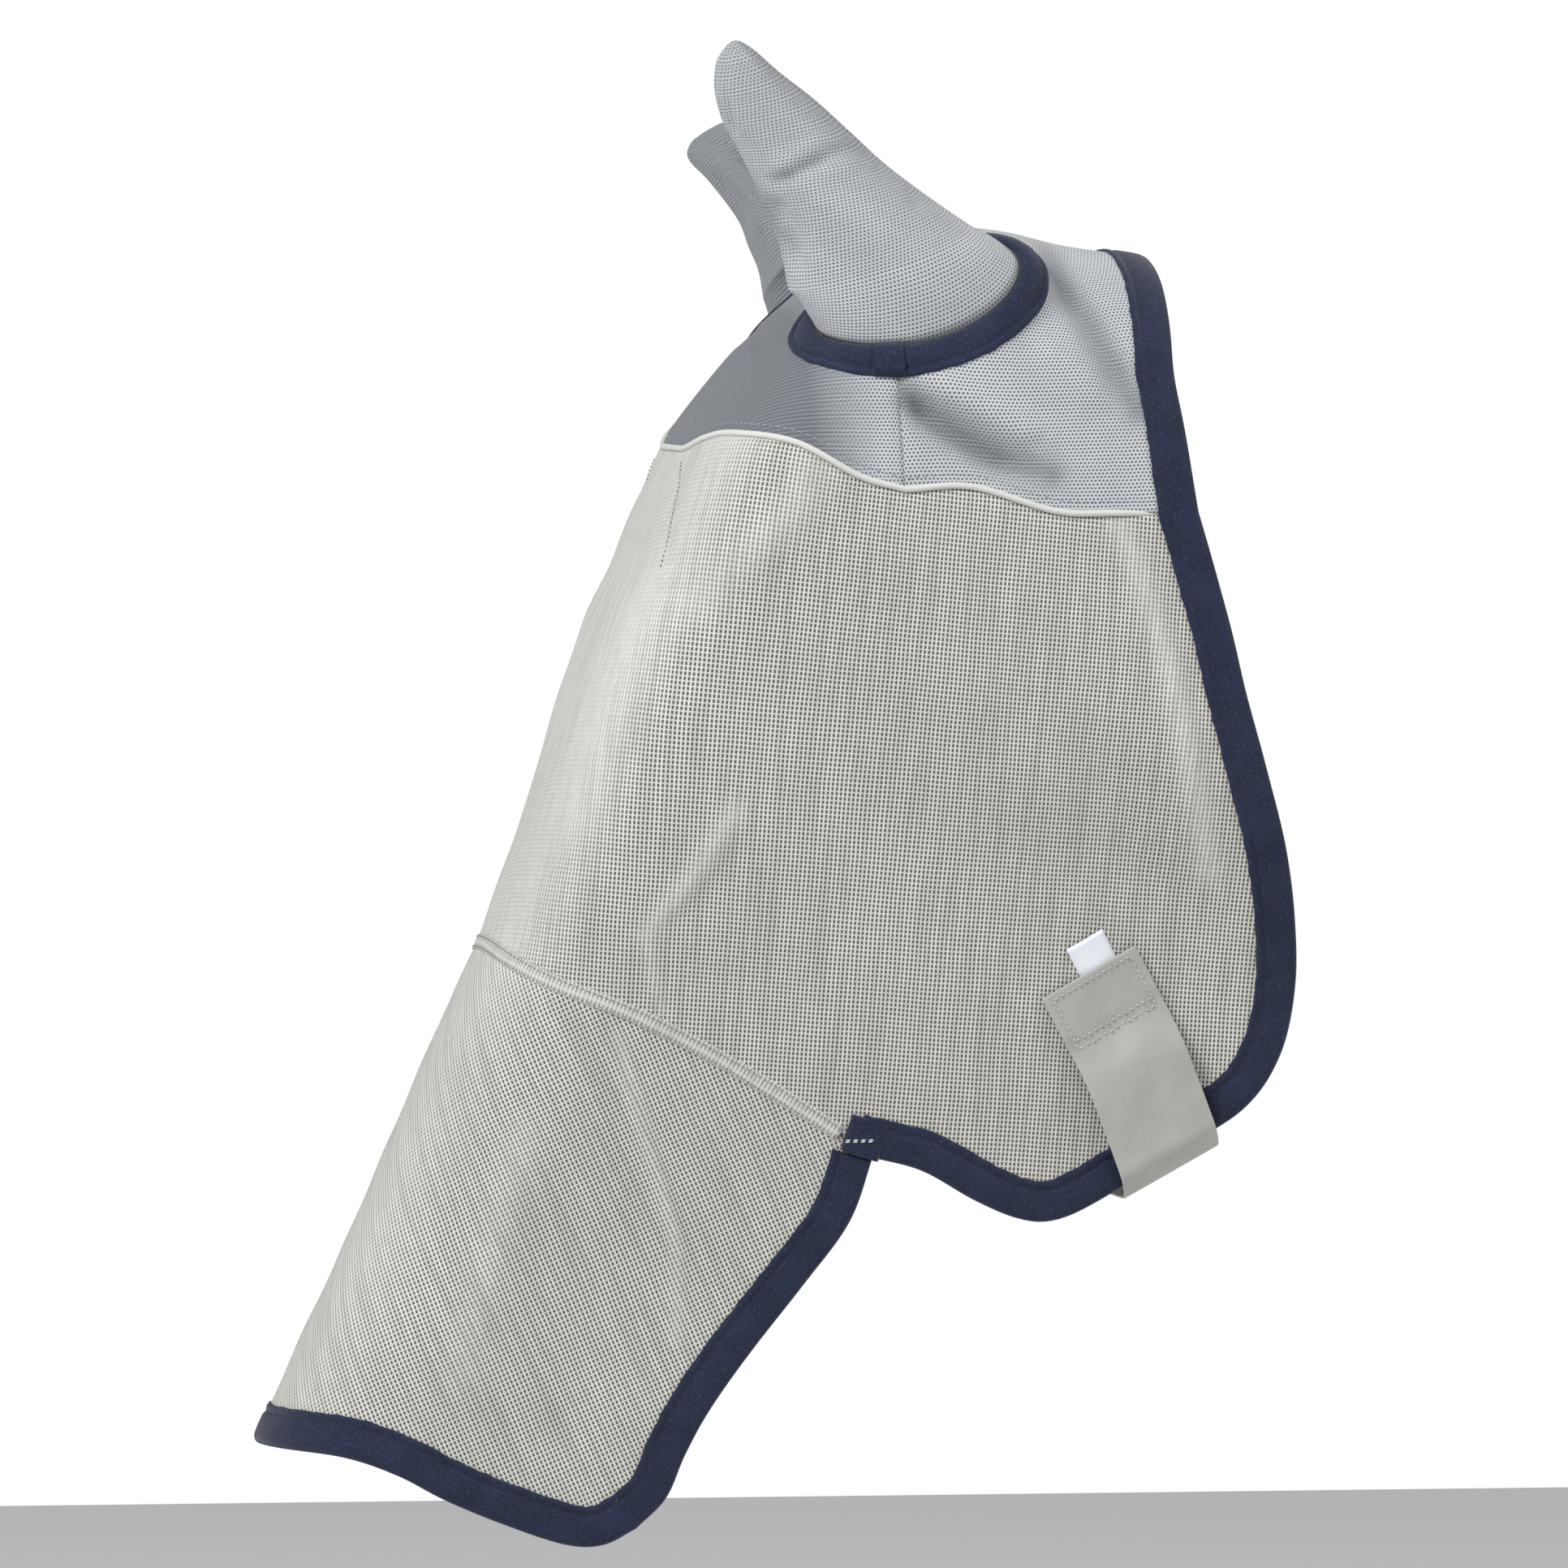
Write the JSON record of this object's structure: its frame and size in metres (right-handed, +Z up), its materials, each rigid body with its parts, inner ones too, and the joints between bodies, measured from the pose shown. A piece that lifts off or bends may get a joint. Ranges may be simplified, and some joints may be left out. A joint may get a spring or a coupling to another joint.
{
  "type": "horse fly mask",
  "caption": "Mesh fly mask for a horse's head, with knitted ear covers, a nose cover, bound edges and throat straps that close with hook and loop.",
  "frame": {"origin": "the horse's poll, on the plane of symmetry, just under the crown between the ears", "axes": "the horse faces -X, its left side is -Y, +Z is up"},
  "size_m": [0.4572, 0.2437, 0.6843],
  "materials": {
    "crown_knit": "perforated knit, matt",
    "face_mesh": "open woven mesh, matt",
    "navy_tape": "folded woven tape, matt",
    "white_cord": "piping and thread",
    "strap_cloth": "soft satin webbing",
    "hook_tape": "hook tape",
    "label_cloth": "woven label",
    "thread": "sewing thread"
  },
  "bodies": {
    "mask": {"browline_piping": "white_cord", "crown_back_panel": "crown_knit", "crown_front_panel": "crown_knit", "edge_binding": "navy_tape", "face_mesh_panel": "face_mesh", "left_bar_tack": "white_cord", "left_corner_fold": "navy_tape", "left_crown_seam": "crown_knit", "left_ear_ring": "navy_tape", "left_forehead_dart": "face_mesh", "left_strap_box": "strap_cloth", "left_strap_stitching": "thread", "nose_cover_binding": "navy_tape", "nose_mesh_panel": "face_mesh", "nose_seam_tape": "face_mesh", "right_bar_tack": "white_cord", "right_corner_fold": "navy_tape", "right_crown_seam": "crown_knit", "right_ear_ring": "navy_tape", "right_forehead_dart": "face_mesh", "right_strap_box": "strap_cloth", "right_strap_stitching": "thread", "size_label": "label_cloth", "top_crown_seam": "crown_knit"},
    "left_ear": {"left_ear_outer_panel": "crown_knit", "left_ear_inner_panel": "crown_knit"},
    "right_ear": {"right_ear_outer_panel": "crown_knit", "right_ear_inner_panel": "crown_knit"},
    "left_strap": {"left_strap": "strap_cloth", "left_hook_tape": "hook_tape"},
    "right_strap": {"right_strap": "strap_cloth", "right_loop_tape": "strap_cloth"}
  },
  "joints": [
    {"name": "left_ear_turn", "type": "hinge", "parent": "mask", "child": "left_ear", "pos_m": [-0.07804, -0.06905, -0.02387], "axis": [0.3549, 0.9127, 0.2028], "range_deg": [0, 35]},
    {"name": "right_ear_turn", "type": "hinge", "parent": "mask", "child": "right_ear", "pos_m": [-0.07804, 0.06905, -0.02387], "axis": [-0.3549, 0.9127, -0.2028], "range_deg": [0, 35]},
    {"name": "left_strap_open", "type": "hinge", "parent": "mask", "child": "left_strap", "pos_m": [0.01254, -0.08467, -0.35324], "axis": [-0.8726, -0.0683, -0.4837], "range_deg": [0, 100]},
    {"name": "right_strap_open", "type": "hinge", "parent": "mask", "child": "right_strap", "pos_m": [0.01254, 0.08467, -0.35324], "axis": [0.8726, -0.0683, 0.4837], "range_deg": [0, 35]}
  ],
  "couplings": [
    {"joint": "right_strap_open", "follows": "left_strap_open", "ratio": 0.35}
  ]
}
